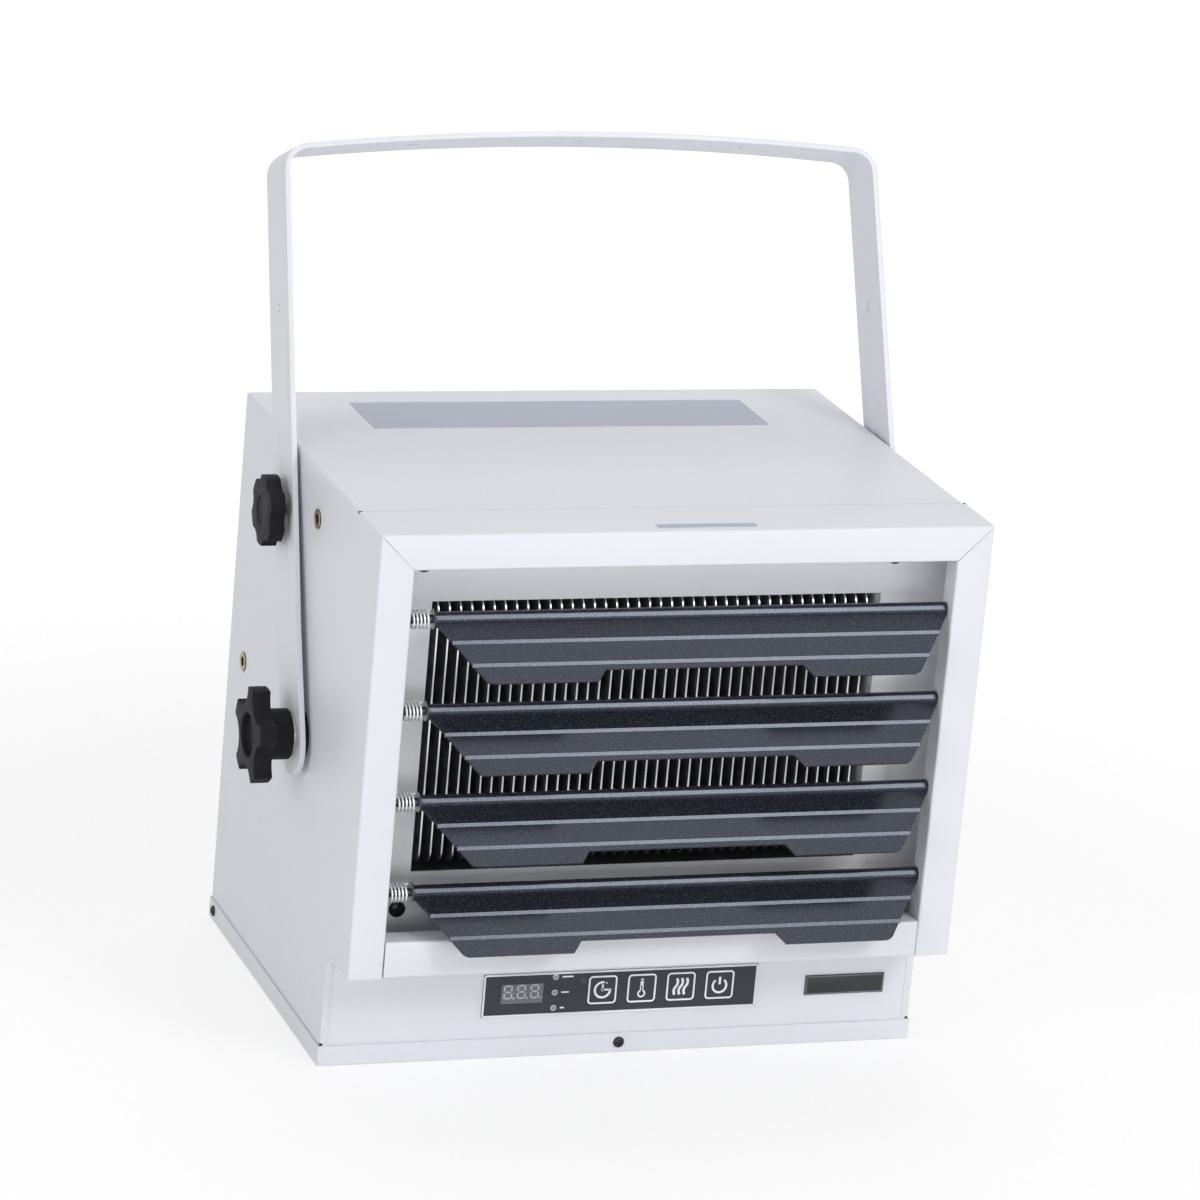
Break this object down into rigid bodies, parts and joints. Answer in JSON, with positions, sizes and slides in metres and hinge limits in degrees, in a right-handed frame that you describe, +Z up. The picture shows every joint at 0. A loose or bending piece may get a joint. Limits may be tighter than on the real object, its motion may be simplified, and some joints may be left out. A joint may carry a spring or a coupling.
{
  "type": "garage heater",
  "caption": "Box-shaped electric fan heater with tilting louvres over a finned element, a control panel under the hood and a strap yoke held by knobs.",
  "frame": {"origin": "centre of the base tray's underside", "axes": "+Z up, -Y to the front with the louvres, +X to the right seen from the front"},
  "size_m": [0.4348, 0.3276, 0.5107],
  "materials": {
    "casing_white": "satin powder coat",
    "recess_grey": "satin grey coat",
    "galvanised": "bare zinc-coated sheet",
    "fin_dark": "dark heat-proof coat with bare front edges",
    "tube_steel": "heat-tinted steel",
    "louver_charcoal": "fine metallic charcoal coat",
    "rod_steel": "bright drawn steel",
    "knob_black": "moulded, satin",
    "nut_zinc": "yellow zinc plate",
    "overlay_dark": "printed polyester film",
    "key_dark": "printed key cap",
    "display_grey": "unlit segment display",
    "lamp_lens": "frosted lens",
    "window_dark": "dark infrared window",
    "board_green": "solder mask",
    "relay_black": "moulded",
    "block_white": "moulded",
    "badge_dark": "bare dark plate",
    "label_silver": "bare foil",
    "screw_black": "black zinc",
    "motor_dark": "enamel",
    "fan_alloy": "pressed"
  },
  "bodies": {
    "heater": {"casing_wrap": "casing_white", "rear_panel": "casing_white", "base_tray": "casing_white", "control_panel": "casing_white", "front_hood": "casing_white", "lower_bar": "casing_white", "recess_panel": "recess_grey", "air_duct": "galvanised", "fin_pack": "fin_dark", "heating_tubes": "tube_steel", "element_end_plates": "galvanised", "thermal_cutout": "relay_black", "fan_motor": "motor_dark", "motor_bracket": "galvanised", "fan_shroud": "galvanised", "divider_shelf": "galvanised", "rivet_nuts": "nut_zinc", "yoke_spacers": "knob_black", "control_board": "board_green", "display_module": "display_grey", "indicator_lamps": "lamp_lens", "receiver_window": "window_dark", "overlay_panel": "overlay_dark", "key_switches": "relay_black", "power_board": "board_green", "relays": "relay_black", "terminal_block": "block_white", "cable_gland": "knob_black", "badge_plate": "badge_dark", "label_plates": "label_silver", "casing_screws": "screw_black", "recess_screws": "screw_black", "louver_spring_1": "rod_steel", "louver_spring_2": "rod_steel", "louver_spring_3": "rod_steel", "louver_spring_4": "rod_steel"},
    "fan": {"fan_blade": "fan_alloy", "motor_shaft": "rod_steel"},
    "yoke": {"yoke": "casing_white"},
    "louver_1": {"louver_1": "louver_charcoal", "louver_rod_1": "rod_steel"},
    "louver_2": {"louver_2": "louver_charcoal", "louver_rod_2": "rod_steel"},
    "louver_3": {"louver_3": "louver_charcoal", "louver_rod_3": "rod_steel"},
    "louver_4": {"louver_4": "louver_charcoal", "louver_rod_4": "rod_steel"},
    "pivot_washer_left": {"pivot_washer_left": "rod_steel"},
    "pivot_knob_left": {"pivot_knob_left": "knob_black"},
    "lock_washer_left": {"lock_washer_left": "rod_steel"},
    "lock_knob_left": {"lock_knob_left": "knob_black"},
    "pivot_washer_right": {"pivot_washer_right": "rod_steel"},
    "pivot_knob_right": {"pivot_knob_right": "knob_black"},
    "lock_washer_right": {"lock_washer_right": "rod_steel"},
    "lock_knob_right": {"lock_knob_right": "knob_black"},
    "key_timer": {"key_timer": "key_dark"},
    "key_temperature": {"key_temperature": "key_dark"},
    "key_mode": {"key_mode": "key_dark"},
    "key_power": {"key_power": "key_dark"}
  },
  "joints": [
    {"name": "fan_spin", "type": "hinge", "parent": "heater", "child": "fan", "pos_m": [0, -0.032, 0.2011], "axis": [0, 1, 0], "continuous": true},
    {"name": "yoke_tilt", "type": "hinge", "parent": "heater", "child": "yoke", "pos_m": [0, -0.042, 0.177], "axis": [-1, 0, 0], "range_deg": [-22.5, 67.5]},
    {"name": "louver_1_tilt", "type": "hinge", "parent": "heater", "child": "louver_1", "pos_m": [0, -0.157, 0.2844], "axis": [-1, 0, 0], "range_deg": [-40, 43]},
    {"name": "louver_2_tilt", "type": "hinge", "parent": "heater", "child": "louver_2", "pos_m": [0, -0.157, 0.2297], "axis": [-1, 0, 0], "range_deg": [-40, 43]},
    {"name": "louver_3_tilt", "type": "hinge", "parent": "heater", "child": "louver_3", "pos_m": [0, -0.157, 0.175], "axis": [-1, 0, 0], "range_deg": [-40, 43]},
    {"name": "louver_4_tilt", "type": "hinge", "parent": "heater", "child": "louver_4", "pos_m": [0, -0.157, 0.1203], "axis": [-1, 0, 0], "range_deg": [-22, 43]},
    {"name": "pivot_thread_left", "type": "slide", "parent": "heater", "child": "pivot_washer_left", "axis": [-1, 0, 0], "range_m": [0, 0.00301]},
    {"name": "pivot_turn_left", "type": "hinge", "parent": "pivot_washer_left", "child": "pivot_knob_left", "pos_m": [0, -0.042, 0.177], "axis": [-1, 0, 0], "range_deg": [0, 1080]},
    {"name": "lock_thread_left", "type": "slide", "parent": "yoke", "child": "lock_washer_left", "axis": [-1, 0, 0], "range_m": [-0.00201, 0]},
    {"name": "lock_turn_left", "type": "hinge", "parent": "lock_washer_left", "child": "lock_knob_left", "pos_m": [0, 0.00813, 0.29803], "axis": [-1, 0, 0], "range_deg": [-720, 0]},
    {"name": "pivot_thread_right", "type": "slide", "parent": "heater", "child": "pivot_washer_right", "axis": [1, 0, 0], "range_m": [0, 0.00301]},
    {"name": "pivot_turn_right", "type": "hinge", "parent": "pivot_washer_right", "child": "pivot_knob_right", "pos_m": [0, -0.042, 0.177], "axis": [1, 0, 0], "range_deg": [0, 1080]},
    {"name": "lock_thread_right", "type": "slide", "parent": "yoke", "child": "lock_washer_right", "axis": [1, 0, 0], "range_m": [-0.00201, 0]},
    {"name": "lock_turn_right", "type": "hinge", "parent": "lock_washer_right", "child": "lock_knob_right", "pos_m": [0, 0.00813, 0.29803], "axis": [1, 0, 0], "range_deg": [-720, 0]},
    {"name": "key_timer_press", "type": "slide", "parent": "heater", "child": "key_timer", "axis": [0, 1, 0], "range_m": [0, 0.0005], "stiffness_N_per_m": 3000},
    {"name": "key_temperature_press", "type": "slide", "parent": "heater", "child": "key_temperature", "axis": [0, 1, 0], "range_m": [0, 0.0005], "stiffness_N_per_m": 3000},
    {"name": "key_mode_press", "type": "slide", "parent": "heater", "child": "key_mode", "axis": [0, 1, 0], "range_m": [0, 0.0005], "stiffness_N_per_m": 3000},
    {"name": "key_power_press", "type": "slide", "parent": "heater", "child": "key_power", "axis": [0, 1, 0], "range_m": [0, 0.0005], "stiffness_N_per_m": 3000}
  ],
  "couplings": [
    {"joint": "pivot_thread_left", "follows": "pivot_turn_left", "m_per_rad": 0.00015915},
    {"joint": "lock_thread_left", "follows": "lock_turn_left", "m_per_rad": 0.00015915},
    {"joint": "pivot_thread_right", "follows": "pivot_turn_right", "m_per_rad": 0.00015915},
    {"joint": "lock_thread_right", "follows": "lock_turn_right", "m_per_rad": 0.00015915}
  ]
}
